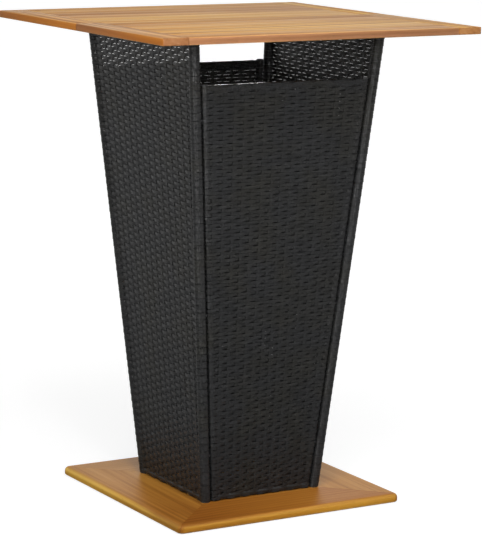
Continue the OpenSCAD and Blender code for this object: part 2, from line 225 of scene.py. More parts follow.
class GeometryTree(Graph):
    """A geometry node tree of flat strands, with named inputs."""

    CREASE = 0.62
    SQUARENESS = 0.15
    STRAND = ("Strand Width", "Strand Thickness")
    FAN = ("Half Width", "Half Slope", "Stake Pitch", "Stake Slope", "Depth")

    def __init__(self, name: str, lengths: tuple[str, ...], counts: tuple[str, ...] = (),
                 vectors: tuple[str, ...] = ()) -> None:
        """Makes the tree and its inputs.

        Args:
            name: The tree's name.
            lengths: Names of the inputs that are numbers, besides the strands' width and thickness.
            counts: Names of the inputs that are whole numbers.
            vectors: Names of the inputs that are vectors.
        """
        super().__init__(bpy.data.node_groups.new(name, "GeometryNodeTree"))
        kinds = (("NodeSocketFloat", self.STRAND + lengths), ("NodeSocketInt", counts), ("NodeSocketVector", vectors),
                 ("NodeSocketMaterial", ("Material",)))
        for kind, names in kinds:
            for item in names:
                self.tree.interface.new_socket(item, in_out="INPUT", socket_type=kind)
        self.tree.interface.new_socket("Geometry", in_out="OUTPUT", socket_type="NodeSocketGeometry")
        self.inputs = self.tree.nodes.new("NodeGroupInput").outputs

    def position(self) -> Socket:
        """Returns the place of each point."""
        return self.out("GeometryNodeInputPosition")

    def moved(self, geometry: Value, place: Value) -> Socket:
        """Puts each point at a place."""
        return self.out("GeometryNodeSetPosition", {"Geometry": geometry, "Position": place})

    def mark(self, geometry: Value, name: str, value: Value, domain: str = "POINT") -> Socket:
        """Stores a number under a name, for later nodes and the materials to read."""
        values = {"Geometry": geometry, "Name": name, "Value": value}
        return self.out("GeometryNodeStoreNamedAttribute", values, data_type="FLOAT", domain=domain)

    def read(self, name: str) -> Socket:
        """Returns the number stored under a name."""
        return self.out("GeometryNodeInputNamedAttribute", {"Name": name}, data_type="FLOAT")

    def line(self, start: Value, end: Value, count: Value) -> Socket:
        """Makes a straight curve of evenly spaced points."""
        line = self.out("GeometryNodeCurvePrimitiveLine", {"Start": start, "End": end})
        return self.out("GeometryNodeResampleCurve", {"Curve": line, "Count": count})

    def row_of_points(self, count: Value, start: Value, step: Value) -> Socket:
        """Makes points in a straight row."""
        values = {"Count": count, "Start Location": start, "Offset": step}
        return self.out("GeometryNodeMeshLine", values, mode="OFFSET")

    def repeated(self, points: Value, instance: Value, turn: Value = (0.0, 0.0, 0.0)) -> Socket:
        """Puts a copy of the instance on each point and makes the copies real."""
        copies = self.out("GeometryNodeInstanceOnPoints", {"Points": points, "Instance": instance, "Rotation": turn})
        return self.out("GeometryNodeRealizeInstances", {0: copies})

    def fanned(self, climb: Value) -> tuple[Socket, Socket]:
        """Returns half the panel's width and the stakes' pitch at a way up its face."""
        given = self.inputs
        return (self.fused(climb, given["Half Slope"], given["Half Width"]),
                self.fused(climb, given["Stake Slope"], given["Stake Pitch"]))

    def strand_section(self, upright: bool = False) -> Socket:
        """Makes a flat strand's cross-section, six-sided.

        Args:
            upright: Whether its width lies along Y instead of X.

        Returns:
            The section as a closed curve, which carries the attribute "across" from -1 to 1.
        """
        wide, thick = (self.inputs[name] for name in self.STRAND)
        circle = self.out("GeometryNodeCurvePrimitiveCircle", {"Resolution": 6, "Radius": 1.0})
        x, y, _ = self.split(self.position())
        across = self.times(self.math("SIGN", x), self.math("POWER", self.math("ABSOLUTE", x), self.SQUARENESS))
        place = self.xyz(self.times(across, self.times(wide, 0.5)),
                         self.times(y, self.times(thick, 0.5 / math.sin(math.pi / 3))), 0.0)
        section = self.moved(self.mark(circle, "across", across), place)
        turn = (0.0, 0.0, QUARTER if upright else 0.0)
        return self.out("GeometryNodeTransform", {"Geometry": section, "Rotation": turn})

    def sweep(self, curve: Value, section: Value, scale: Value = 1.0) -> Socket:
        """Draws a section along curves, kept level and scaled, and closes their ends."""
        level = self.out("GeometryNodeSetCurveNormal", {0: curve}, mode="Z_UP")
        values = {"Curve": level, "Profile Curve": section, "Fill Caps": True, "Scale": scale}
        return self.out("GeometryNodeCurveToMesh", values)

    def end(self, geometry: Socket) -> None:
        """Finishes the tree: flat strands that are smooth along their length, real instances and the material."""
        smooth = self.out("GeometryNodeSetShadeSmooth", {"Geometry": geometry})
        angle = self.add("GeometryNodeInputMeshEdgeAngle").outputs["Unsigned Angle"]
        creased = self.out("GeometryNodeSetShadeSmooth", {
            "Geometry": smooth, "Selection": self.math("GREATER_THAN", angle, self.CREASE), "Shade Smooth": False},
            domain="EDGE")
        real = self.out("GeometryNodeRealizeInstances", {0: creased})
        dressed = self.out("GeometryNodeSetMaterial", {"Geometry": real, "Material": self.inputs["Material"]})
        self.add("NodeGroupOutput", {0: dressed})

    def mesh(self, name: str, values: dict[str, Value]) -> Mesh:
        """Runs the tree and returns its result as a plain mesh.

        Args:
            name: The mesh's name.
            values: The tree's inputs by name.

        Returns:
            The mesh.
        """
        holder = bpy.data.objects.new(name, bpy.data.meshes.new(name + "_start"))
        bpy.context.scene.collection.objects.link(holder)
        modifier = holder.modifiers.new("nodes", "NODES")
        modifier.node_group = self.tree
        for item in self.tree.interface.items_tree:
            if item.in_out == "INPUT":
                modifier[item.identifier] = values[item.name]
        graph = bpy.context.evaluated_depsgraph_get()
        made = bpy.data.meshes.new_from_object(
            holder.evaluated_get(graph), preserve_all_data_layers=True, depsgraph=graph)
        bpy.data.objects.remove(holder)
        made.name = name
        return made


def weft_tree() -> GeometryTree:
    """Makes the tree of the level strands, which run over one stake and under the next."""
    tree = GeometryTree(
        "Weft", (*GeometryTree.FAN, "First Row", "Row Pitch", "Wave", "Tube Depth", "Turn Radius", "Turn Share", "Ramp",
                 "Tuck", "Wobble", "Open From", "Slack", "Pinch"), ("Rows", "Points", "Seed"))
    turn_angle, length_per_radian = 1.5 * math.pi, 0.012
    waves_per_metre, row_step, sway_shares = 22.0, 7.7, (0.0, 1.0, 0.15)
    given = tree.inputs
    rows = tree.row_of_points(given["Rows"], tree.xyz(0.0, 0.0, given["First Row"]),
                              tree.xyz(0.0, 0.0, given["Row Pitch"]))
    strands = tree.repeated(rows, tree.line((-1.0, 0.0, 0.0), (1.0, 0.0, 0.0), given["Points"]))
    strands = tree.mark(strands, "row", tree.out("GeometryNodeInputIndex"), "CURVE")
    row = tree.read("row")
    share, _, climb = tree.split(tree.position())
    side, part = tree.math("SIGN", share), tree.math("ABSOLUTE", share)
    half, pitch = tree.fanned(climb)

    def phase_at(x: Socket) -> Socket:
        """Returns how far the weave has come at x: half a turn for each stake, and for each row."""
        return tree.times(tree.plus(tree.math("DIVIDE", x, pitch), row), math.pi)

    outside = tree.math("GREATER_THAN", tree.math("COSINE", phase_at(half)), 0.0)
    straight = tree.minus(1.0, given["Turn Share"])
    run = tree.math("MINIMUM", tree.math("DIVIDE", part, straight), 1.0)
    bend = tree.math("DIVIDE", tree.minus(part, straight), given["Turn Share"])
    bend = tree.times(tree.math("MAXIMUM", bend, 0.0), turn_angle)
    reach = tree.times(half, run)
    round_x = tree.fused(tree.math("SINE", bend), given["Turn Radius"], reach)
    short_x = tree.times(part, tree.minus(half, given["Tuck"]))
    x = tree.times(tree.mix(outside, short_x, round_x), side)
    phase = phase_at(x)
    wave = tree.math("COSINE", phase)
    over = tree.times(wave, wave)
    flat = tree.times(wave, tree.fused(over, -0.5, 1.5))
    place = tree.xyz(tree.times(x, waves_per_metre), tree.times(row, row_step), given["Seed"])
    noise = tree.add("ShaderNodeTexNoise", {"Vector": place, "Scale": 1.0, "Detail": 1.0}).outputs[1]
    sway = tree.vector("MULTIPLY", tree.vector("SUBTRACT", noise, (0.5, 0.5, 0.5)), sway_shares)
    depth = tree.minus(given["Depth"], tree.times(flat, given["Wave"]))
    round_depth = tree.minus(given["Tube Depth"], tree.times(tree.math("COSINE", bend), given["Turn Radius"]))
    near = tree.math("DIVIDE", tree.minus(tree.plus(reach, given["Ramp"]), half), given["Ramp"])
    near = tree.times(tree.math("SMOOTH_MIN", near, 1.0, 0.3), outside)
    depth = tree.mix(tree.math("MAXIMUM", near, 0.0), depth, round_depth)
    spot = tree.vector("ADD", tree.xyz(x, depth, climb), tree.scaled(sway, given["Wobble"]))
    loose = tree.fused(tree.minus(1.0, over), given["Pinch"], given["Slack"])
    loose = tree.times(loose, tree.math("GREATER_THAN", climb, given["Open From"]))
    strands = tree.mark(strands, "scale", tree.minus(1.0, loose))
    strands = tree.mark(strands, "phase", phase)
    strands = tree.mark(strands, "along", tree.plus(x, tree.times(bend, length_per_radian)))
    tree.end(tree.sweep(tree.moved(strands, spot), tree.strand_section(upright=True), tree.read("scale")))
    return tree


def warp_tree() -> GeometryTree:
    """Makes the tree of the upright stakes, which fan out as the panel widens."""
    tree = GeometryTree("Warp", (*GeometryTree.FAN, "Low End", "High End"), ("Stakes", "Points"))
    given = tree.inputs
    first = tree.times(tree.minus(given["Stakes"], 1.0), -0.5)
    stakes = tree.row_of_points(given["Stakes"], tree.xyz(first, 0.0, 0.0), (1.0, 0.0, 0.0))
    line = tree.line(tree.xyz(0.0, given["Low End"], 0.0), tree.xyz(0.0, given["High End"], 0.0), given["Points"])
    strands = tree.repeated(stakes, line)
    number, climb, _ = tree.split(tree.position())
    half, pitch = tree.fanned(climb)
    x = tree.math("MINIMUM", tree.times(number, pitch), half)
    x = tree.math("MAXIMUM", x, tree.times(half, -1.0))
    spot = tree.xyz(x, climb, tree.times(given["Depth"], -1.0))
    strands = tree.mark(tree.mark(strands, "row", number), "along", climb)
    tree.end(tree.sweep(tree.moved(strands, spot), tree.strand_section()))
    return tree


def ring_tree() -> GeometryTree:
    """Makes the tree of strands wrapped round a tube, one ring above the other, sheared to the tube's lean."""
    tree = GeometryTree("Wrapping", ("Radius", "Step", "Tilt"), ("Rings", "Segments", "Seed"), ("Start", "Lean"))
    given = tree.inputs
    rings = tree.row_of_points(given["Rings"], (0.0, 0.0, 0.0), tree.xyz(0.0, 0.0, given["Step"]))
    circle = tree.out("GeometryNodeCurvePrimitiveCircle", {
        "Resolution": given["Segments"], "Radius": given["Radius"]})
    tilt = tree.xyz(given["Tilt"], given["Tilt"], 0.0)
    turn = tree.out("FunctionNodeRandomValue", {
        "Min": tree.vector("SUBTRACT", (0.0, 0.0, 0.0), tilt), "Max": tilt, "Seed": given["Seed"]},
        data_type="FLOAT_VECTOR")
    strands = tree.repeated(rings, circle, tree.out("FunctionNodeEulerToRotation", {0: turn}))
    strands = tree.mark(strands, "row", tree.out("GeometryNodeInputIndex"), "CURVE")
    strands = tree.mark(strands, "along", tree.add("GeometryNodeSplineParameter").outputs["Length"])
    made = tree.sweep(strands, tree.strand_section(upright=True))
    position = tree.position()
    _, _, z = tree.split(position)
    spot = tree.vector("ADD", tree.vector("ADD", position, given["Start"]), tree.scaled(given["Lean"], z))
    tree.end(tree.moved(made, spot))
    return tree


def stave_tree() -> GeometryTree:
    """Makes the tree of strands that lie side by side along a level rail, all round it."""
    tree = GeometryTree("Staves", ("Radius", "Half Length"), ("Staves", "Points"))
    given = tree.inputs
    circle = tree.out("GeometryNodeMeshCircle", {"Vertices": given["Staves"], "Radius": given["Radius"]})
    circle = tree.out("GeometryNodeTransform", {"Geometry": circle, "Rotation": (0.0, 0.0, QUARTER)})
    outwards = tree.out("FunctionNodeAlignRotationToVector", {"Vector": tree.position()}, axis="Y")
    sections = tree.repeated(circle, tree.strand_section(), outwards)
    line = tree.line(tree.xyz(tree.times(given["Half Length"], -1.0), 0.0, 0.0),
                     tree.xyz(given["Half Length"], 0.0, 0.0), given["Points"])
    x, _, _ = tree.split(tree.position())
    tree.end(tree.sweep(tree.mark(line, "along", x), sections))
    return tree


@dataclass(frozen=True)
class Strand:
    """The finish of the flat plastic strands: near-black, satin and grooved, with painted shade where two rows part and
    where they cross.
    """

    dark: Colour = (0.0122, 0.0122, 0.0122)
    light: Colour = (0.0262, 0.0262, 0.0262)
    olive: Colour = (1.05, 1.025, 0.92)
    blue: Colour = (0.985, 1.0, 1.025)
    roughness: float = 0.25
    specular: float = 0.17
    # Painted shade: these set how far and where the strands' colour is darkened where two rows part and where they
    # cross mid-span.
    parting_shade: float = 1.0
    parting_shade_phase: Pair = (0.45, 0.75)
    parting_shade_edge: Pair = (0.6, 0.8)
    crease_shade: float = 0.6
    crease_shade_phase: Pair = (0.955, 0.995)
    crease_shade_edge: Pair = (-0.6, 0.5)
    fleck: float = 0.4
    fleck_scale: float = 400.0
    tone_scales: Triple = (30.0, 0.6, 3.1)
    hue_scale: float = 11.0
    hue_range: Pair = (0.34, 0.56)
    grooves: float = 5.0
    groove_depth: float = 0.00012

    def material(self) -> Material:
        """Makes the material.

        Returns:
            The material, which reads the attributes "row", "along", "across" and "phase" of the strands.
        """
        made, graph, shader = new_material("rattan_strand")
        row, along, across, phase = (graph.add("ShaderNodeAttribute", attribute_name=name).outputs["Fac"]
                                     for name in ("row", "along", "across", "phase"))
        place = graph.vector("MULTIPLY", graph.xyz(along, across, row), self.tone_scales)
        tone = graph.spread(graph.noise(place, 1.0, 3.0), 0.3, 0.7)
        spot = graph.object_place()
        hue = graph.spread(graph.noise(spot, self.hue_scale, 2.0), *self.hue_range)
        hue = graph.blend(hue, self.olive, self.blue)
        free = graph.math("SINE", phase)
        steep = graph.math("ABSOLUTE", free)
        near = graph.times(graph.math("SIGN", free), across)
        # Painted shade: the colour is darkened along a strand's edge where two rows part and where they cross, standing
        # in for the shade between them.
        painted_parting_shade = graph.times(graph.spread(steep, *self.parting_shade_phase, 0.0, self.parting_shade),
                             graph.spread(near, *self.parting_shade_edge))
        creased = graph.times(graph.spread(steep, *self.crease_shade_phase, 0.0, self.crease_shade),
                              graph.spread(near, *self.crease_shade_edge))
        painted_shade_factor = graph.minus(1.0, graph.math("MAXIMUM", painted_parting_shade, creased))
        fleck = graph.noise(spot, self.fleck_scale, 1.0)
        fleck = graph.spread(fleck, 0.3, 0.7, 1.0 - self.fleck, 1.0 + self.fleck)
        colour = graph.vector("MULTIPLY", graph.blend(tone, self.dark, self.light), hue)
        wave = graph.math("COSINE", graph.times(across, math.pi * self.grooves))
        graph.feed(shader, {
            "Base Color": graph.scaled(colour, graph.times(fleck, painted_shade_factor)),
            "Roughness": graph.spread(tone, 0.0, 1.0, self.roughness + 0.08, self.roughness - 0.06),
            "Specular IOR Level": self.specular,
            "Normal": graph.bump(wave, 0.5, self.groove_depth)})
        return made


@dataclass(frozen=True)
class Knot:
    """A knot in a board, or a wider patch that makes a board darker: its middle, seen from above, its radius and how
    dark it is.
    """

    x: float
    y: float
    radius: float
    depth: float = 1.0


@dataclass(frozen=True)
class Layer:
    """One layer of a wood's noise: how fine it is along and across the grain, its detail and its share."""

    along: float
    across: float
    detail: float
    share: float = 1.0

    def noise(self, graph: Graph, place: Socket) -> Socket:
        """Returns the layer's noise, drawn out along the grain."""
        return graph.noise(graph.vector("MULTIPLY", place, (self.along, self.across, self.across)), 1.0, self.detail)


@dataclass(frozen=True)
class Wood:
    """Oiled acacia: long streaks of growth rings, fibres and pores that run along the board."""

    pale: Colour
    middle: Colour
    deep: Colour
    grain: Grain = Grain.ALONG_X
    shift: float = 0.0
    ring_width: float = 0.011
    ring_share: float = 0.14
    pith_depth: float = 0.05
    pith_spread: float = 0.11
    sway: Layer = Layer(1.1, 5.0, 2.0, 0.09)
    streaks: Layer = Layer(1.6, 88.0, 5.0, 1.6)
    bands: Layer = Layer(0.9, 26.0, 3.0, 0.75)
    fibres: Layer = Layer(14.0, 620.0, 3.0, 0.22)
    lines: Layer = Layer(2.0, 90.0, 2.0, 0.3)
    pores: Layer = Layer(45.0, 1500.0, 1.0)
    plain_tone: float = 0.55
    figure: float = 1.0
    side_figure: float = 0.5
    specular: float = 0.17
    roughness: float = 0.42
    knots: tuple[Knot, ...] = ()
    knot_bend: float = 0.014
    knot_tone: float = 0.4
    # Painted light and shade: the sides get their own tint and the rounded edges a painted highlight; the end grain's
    # tint is its own darker colour under the oil.
    painted_side_shading: Colour = (0.86, 0.66, 0.55)
    end_tint: Colour = (0.72, 0.53, 0.47)
    edge_highlight: Colour = (0.0, 0.0, 0.0)

    def material(self, name: str) -> Material:
        """Makes the material.

        Args:
            name: The material's name.

        Returns:
            The material, which reads Object coordinates.
        """
        made, graph, shader = new_material(name)
        place = graph.object_place()
        placed = graph.out("ShaderNodeMapping", {
            "Vector": place, "Location": (self.shift * 1.7, self.shift * 0.31, self.shift * 0.13),
            "Rotation": (0.0, 0.0, self.grain.value)})
        knots = self.knot_mask(graph, place)
        facing = graph.split(graph.vector("ABSOLUTE", graph.add("ShaderNodeNewGeometry").outputs["Normal"]))
        fibres = graph.minus(self.fibres.noise(graph, placed), 0.5)
        pores = graph.spread(self.pores.noise(graph, placed), 0.28, 0.36, 0.72, 1.0)
        lines = graph.spread(self.lines.noise(graph, placed), 0.58, 0.7)
        tone = graph.fused(fibres, self.fibres.share, graph.times(self.rings(graph, placed, knots), self.ring_share))
        for layer in (self.streaks, self.bands):
            tone = graph.fused(graph.minus(layer.noise(graph, placed), 0.5), layer.share, tone)
        tone = graph.minus(tone, graph.times(lines, self.lines.share))
        tone = graph.fused(tone, graph.mix(facing[2], self.side_figure, self.figure), self.plain_tone)
        tone = graph.math("SUBTRACT", tone, graph.times(knots, self.knot_tone), clamp=True)
        ramp = graph.add("ShaderNodeValToRGB", {0: tone})
        stops = ramp.color_ramp.elements
        stops[0].position, stops[0].color = 0.2, (*self.deep, 1.0)
        stops[1].position, stops[1].color = 0.8, (*self.pale, 1.0)
        stops.new(0.5).color = (*self.middle, 1.0)
        # Painted light and shade by facing, with the end grain's own tint.
        shade_and_grain_tint = self.shading_and_end_grain_tint(graph, facing)
        graph.feed(shader, {
            "Base Color": graph.vector("MULTIPLY", graph.scaled(ramp.outputs[0], pores), shade_and_grain_tint),
            "Roughness": graph.spread(tone, 0.0, 1.0, self.roughness + 0.1, self.roughness - 0.05),
            "Specular IOR Level": self.specular,
            "Normal": graph.bump(graph.fused(fibres, 0.5, pores), 0.35, 0.0003)})
        return made

    def rings(self, graph: Graph, placed: Socket, knots: Value) -> Socket:
        """Returns the growth rings, from -1 to 1, which lie round the pith and bend at the knots.

        Args:
            graph: The material's graph.
            placed: The place, with the grain along X.
            knots: 1 inside the knots and 0 away from them.

        Returns:
            The rings' socket.
        """
        _, y, z = graph.split(placed)
        sway = graph.minus(self.sway.noise(graph, placed), 0.5)
        bend = graph.fused(sway, self.sway.share, graph.times(knots, self.knot_bend))
        across = graph.plus(y, bend)
        pith = graph.plus(z, self.pith_depth + self.pith_spread * (self.shift * 7.3 % 1.0))
        radius = graph.math("SQRT", graph.plus(graph.times(across, across), graph.times(pith, pith)))
        return graph.math("SINE", graph.times(radius, 2 * math.pi / self.ring_width))

    def shading_and_end_grain_tint(self, graph: Graph, facing: tuple[Socket, ...]) -> Socket:
        """Returns the tint by which way the surface faces: painted light or shade on the boards' sides, the darker end
        grain that the oil gives, and a painted highlight along rounded edges.

        Args:
            graph: The material's graph.
            facing: How far the surface faces along X, Y and Z, from 0 to 1 each.

        Returns:
            The tint's socket.
        """
        x, y, z = facing
        side = graph.blend(z, self.painted_side_shading, WHITE)
        end = x if self.grain is Grain.ALONG_X else y
        shade_and_grain_tint = graph.vector("ADD", graph.scaled(side, graph.minus(1.0, end)), graph.scaled(self.end_tint, end))
        # Painted highlight along rounded edges, where the surface turns from level to upright.
        rounded = graph.times(graph.minus(1.0, z), graph.times(z, 4.0))
        painted_edge_highlight = graph.vector("ADD", graph.scaled(self.edge_highlight, rounded), WHITE)
        return graph.vector("MULTIPLY", shade_and_grain_tint, painted_edge_highlight)

    def knot_mask(self, graph: Graph, place: Socket) -> Value:
        """Returns 1 inside the board's knots, falling to 0 around them."""
        mask: Value = 0.0
        flat = graph.vector("MULTIPLY", place, (1.0, 1.0, 0.0))
        for knot in self.knots:
            away = graph.add("ShaderNodeVectorMath", {0: flat, 1: (knot.x, knot.y, 0.0)}, operation="DISTANCE")
            near = graph.spread(away.outputs["Value"], knot.radius * 0.4, knot.radius * 2.2, knot.depth, 0.0)
            mask = graph.plus(mask, near)
        return mask


@dataclass(frozen=True)
class Plain:
    """A finish of one colour with a fine grain: painted or plated metal and moulded plastic."""

    name: str
    colour: Colour
    metallic: float
    roughness: float
    grain_scale: float
    grain_depth: float

    def material(self) -> Material:
        """Makes the material."""
        made, graph, shader = new_material(self.name)
        noise = graph.noise(graph.object_place(), self.grain_scale, 2.0)
        graph.feed(shader, {
            "Base Color": graph.scaled(self.colour, graph.spread(noise, 0.3, 0.7, 0.85, 1.12)),
            "Metallic": self.metallic,
            "Roughness": graph.spread(noise, 0.3, 0.7, self.roughness - 0.06, self.roughness + 0.06),
            "Normal": graph.bump(noise, 0.4, self.grain_depth)})
        return made


def new_material(name: str) -> tuple[Material, Graph, bpy.types.Node]:
    """Makes a node material.

    Args:
        name: The material's name.

    Returns:
        The material, its graph and its Principled shader.
    """
    made = bpy.data.materials.new(name)
    made.use_nodes = True
    return made, Graph(made.node_tree), made.node_tree.nodes["Principled BSDF"]


def place_piece(name: str, mesh: Mesh, replaced: tuple[str, ...] = ()) -> None:
    """Shows a mesh as a piece of the table.

    Args:
        name: The piece's name.
        mesh: Its mesh, in place.
        replaced: The CAD nodes that it stands for.
    """
    piece = bpy.data.objects.new(name, mesh)
    bpy.context.scene.collection.objects.link(piece)
    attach(piece, BODY)
    if replaced:
        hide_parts(*replaced)
    LOG.info("%s: %d faces", name, len(mesh.polygons))


def place_board(node: str, mesh: Mesh, wood: Wood) -> None:
    """Shows a board instead of its CAD node.

    Args:
        node: The CAD node.
        mesh: The board's mesh.
        wood: Its wood.
    """
    mesh.materials.append(wood.material(node + "_wood"))
    place_piece(node + "_board", mesh, (node,))


def join_meshes(name: str, parts: list[Mesh]) -> Mesh:
    """Joins meshes that share one material into one.

    Args:
        name: The joined mesh's name.
        parts: The meshes, which are used up.

    Returns:
        The joined mesh.
    """
    whole = bmesh.new()
    for part in parts:
        whole.from_mesh(part)
    joined = bpy.data.meshes.new(name)
    whole.to_mesh(joined)
    whole.free()
    joined.materials.append(parts[0].materials[0])
    for part in parts:
        bpy.data.meshes.remove(part)
    return joined


def finished_mesh(name: str, board: bmesh.types.BMesh) -> Mesh:
    """Makes a board's mesh, smooth but for its sharp edges.

    Args:
        name: The mesh's name.
        board: The board, which is used up.

    Returns:
        The mesh.
    """
    bmesh.ops.recalc_face_normals(board, faces=board.faces)
    for face in board.faces:
        face.smooth = True
    for edge in board.edges:
        edge.smooth = edge.calc_face_angle(0.0) < SMOOTH_ANGLE
    made = bpy.data.meshes.new(name)
    board.to_mesh(made)
    board.free()
    return made


def face_turn(face: Face) -> Matrix:
    """Returns the turn that brings the front face to another."""
    return Matrix.Rotation(math.radians(face.value), 4, "Z")


@dataclass(frozen=True)
class Taper:
    """How the pillar's faces lean outwards with height."""

    foot_z: float = 0.022
    top_z: float = 1.084
    foot_half: float = 0.1565
    top_half: float = 0.251

    @property
    def run(self) -> float:
        """The lean of a face per unit of height."""
        return (self.top_half - self.foot_half) / (self.top_z - self.foot_z)

    @property
    def lean(self) -> float:
        """The angle between a face and the upright, in radians."""
        return math.atan(self.run)

    def half(self, z: float) -> float:
        """Half the pillar's width at height z."""
        return self.foot_half + self.run * (z - self.foot_z)

    def climb(self, z: float, depth: float) -> float:
        """The way up a face to height z, at a depth behind the face."""
        return (z - self.foot_z - depth * math.sin(self.lean)) / math.cos(self.lean)

    def face_matrix(self, face: Face) -> Matrix:
        """Brings X across a face, Y behind it and Z up its slope into the table's frame."""
        return (face_turn(face) @ Matrix.Translation((0.0, -self.foot_half, self.foot_z))
                @ Matrix.Rotation(self.lean, 4, "X"))


@dataclass
class Trees:
    """The node trees that all woven panels share."""

    weft: GeometryTree = field(default_factory=weft_tree)
    warp: GeometryTree = field(default_factory=warp_tree)
    rings: GeometryTree = field(default_factory=ring_tree)
    staves: GeometryTree = field(default_factory=stave_tree)


@dataclass(frozen=True)
class Edging:
    """The upright tubes that bound a woven panel, and the weave that suits the width between them."""

    low_end_z: float
    high_end_z: float
    high_rail_z: float
    tube_radius: float
    step_in: float
    strand_thickness: float
    wave: float
    stake_pitch: float
    stake_slope: float


@dataclass
class WovenPanel:
    """A woven panel: level strands through upright stakes, and strands wrapped round the tubes of its edge."""

    face: Face
    edging: Edging
    trees: Trees
    material: Material
    taper: Taper = field(default_factory=Taper)
    low_rail_z: float = 0.032
    tube_depth: float = 0.0126
    rail_radius: float = 0.0075
    sheet_depth: float = 0.0059
    strand_width: float = 0.0084
    stake_width: float = 0.0068
    nominal_pitch: float = 0.00815
    edge_cover: float = 0.0037
    stakes: int = 17
    staves: int = 6
    stave_width: float = 0.0089
    wrap_width: float = 0.0073
    wrap_thickness: float = 0.0012
    wrap_play: float = 0.0001
    wrap_segments: int = 20
    wrap_tilt: float = 0.03
    turn_stand: float = 0.0012
    turn_share: float = 0.18
    points: int = 126
    stake_points: int = 40
    stave_points: int = 24
    ramp: float = 0.014
    wobble: float = 0.0008
    open_from_z: float = 0.87
    slack: float = 0.036
    pinch: float = 0.014
    tuck: float = 0.0012

    @property
    def name(self) -> str:
        """The panel's name."""
        return self.face.name.lower()

    @property
    def first_row(self) -> float:
        """The way up the face to the lowest row, which covers the lower half of the low rail."""
        return self.climb(self.low_rail_z) - self.edge_cover

    @property
    def last_row(self) -> float:
        """The way up the face to the highest row, which covers the upper half of the high rail."""
        return self.climb(self.edging.high_rail_z) + self.edge_cover

    @property
    def rows(self) -> int:
        """The number of rows."""
        return round((self.last_row - self.first_row) / self.nominal_pitch) + 1

    @property
    def row_pitch(self) -> float:
        """The distance between two rows."""
        return (self.last_row - self.first_row) / (self.rows - 1)

    @property
    def hidden_end(self) -> float:
        """How far before the middle of a side tube a strand ends that goes inside it, in its wrapping."""
        wrap = self.edging.tube_radius + self.wrap_thickness
        return math.sqrt(wrap ** 2 - (self.tube_depth - self.sheet_depth) ** 2) - self.tuck

    def climb(self, z: float) -> float:
        """The way up the woven sheet to height z."""
        return self.taper.climb(z, self.sheet_depth)

    def tube_x(self, z: float) -> float:
        """How far the middle of a side tube stands from the panel's middle at height z."""
        return -self.tube_y(z) - self.edging.step_in

    def tube_y(self, z: float) -> float:
        """Where the middle of a tube stands behind the face at height z, before the panel is turned."""
        return -self.taper.half(z) + self.tube_depth / math.cos(self.taper.lean)

    def build(self) -> None:
        """Makes the panel's pieces and puts them in place."""
        upright = self.taper.face_matrix(self.face)
        low, high = self.climb(self.low_rail_z), self.climb(self.edging.high_rail_z)
        slope = math.sin(self.taper.lean)
        half_at_foot = self.tube_x(self.low_rail_z) - slope * low
        shared = {"Half Slope": slope, "Stake Pitch": self.edging.stake_pitch, "Stake Slope": self.edging.stake_slope,
                  "Depth": self.sheet_depth, "Strand Thickness": self.edging.strand_thickness,
                  "Material": self.material}
        weft = self.trees.weft.mesh(self.name + "_weft", shared | {
            "First Row": self.first_row, "Row Pitch": self.row_pitch, "Half Width": half_at_foot,
            "Tube Depth": self.tube_depth, "Turn Radius": self.edging.tube_radius + self.turn_stand,
            "Turn Share": self.turn_share, "Ramp": self.ramp, "Tuck": self.hidden_end, "Wave": self.edging.wave,
            "Strand Width": self.strand_width, "Wobble": self.wobble, "Slack": self.slack, "Pinch": self.pinch,
            "Open From": self.climb(self.open_from_z), "Rows": self.rows, "Points": self.points,
            "Seed": self.face.value})
        weft.transform(upright)
        place_piece(self.name + "_strands", weft, (self.name + "_weave",))
        warp = self.trees.warp.mesh(self.name + "_warp", shared | {
            "Low End": low, "High End": high, "Half Width": half_at_foot - self.hidden_end / 2,
            "Strand Width": self.stake_width, "Stakes": self.stakes, "Points": self.stake_points})
        warp.transform(upright @ Matrix.Rotation(QUARTER, 4, "X"))
        rest = [self.wrapping(side) for side in (-1, 1)]
        for z in (self.low_rail_z, self.edging.high_rail_z):
            rest += self.rail_cover(z)
        for part in rest:
            part.transform(face_turn(self.face))
        place_piece(self.name + "_stakes", warp)
        place_piece(self.name + "_edging", join_meshes(self.name + "_edging", rest))

    def wrapping(self, side: int) -> Mesh:
        """Wraps one upright tube, in line with the panel's rows.

        Args:
            side: -1 for the left tube and 1 for the right one.

        Returns:
            The mesh, before the panel is turned.
        """
        step = self.row_pitch * math.cos(self.taper.lean)
        row_z = self.taper.foot_z + self.first_row * math.cos(self.taper.lean)
        below = math.floor((row_z - self.edging.low_end_z - self.wrap_width / 2) / step)
        start_z = row_z - below * step
        rings = int((self.edging.high_end_z - self.wrap_width / 2 - start_z) / step) + 1
        return self.trees.rings.mesh(f"{self.name}_wrap_{side}", {
            "Radius": self.edging.tube_radius + self.wrap_thickness / 2 + self.wrap_play, "Step": step,
            "Strand Width": self.wrap_width, "Strand Thickness": self.wrap_thickness, "Tilt": self.wrap_tilt,
            "Rings": rings, "Segments": self.wrap_segments, "Seed": self.face.value + side,
            "Start": (side * self.tube_x(start_z), self.tube_y(start_z), start_z),
            "Lean": (side * self.taper.run, -self.taper.run, 0.0), "Material": self.material})

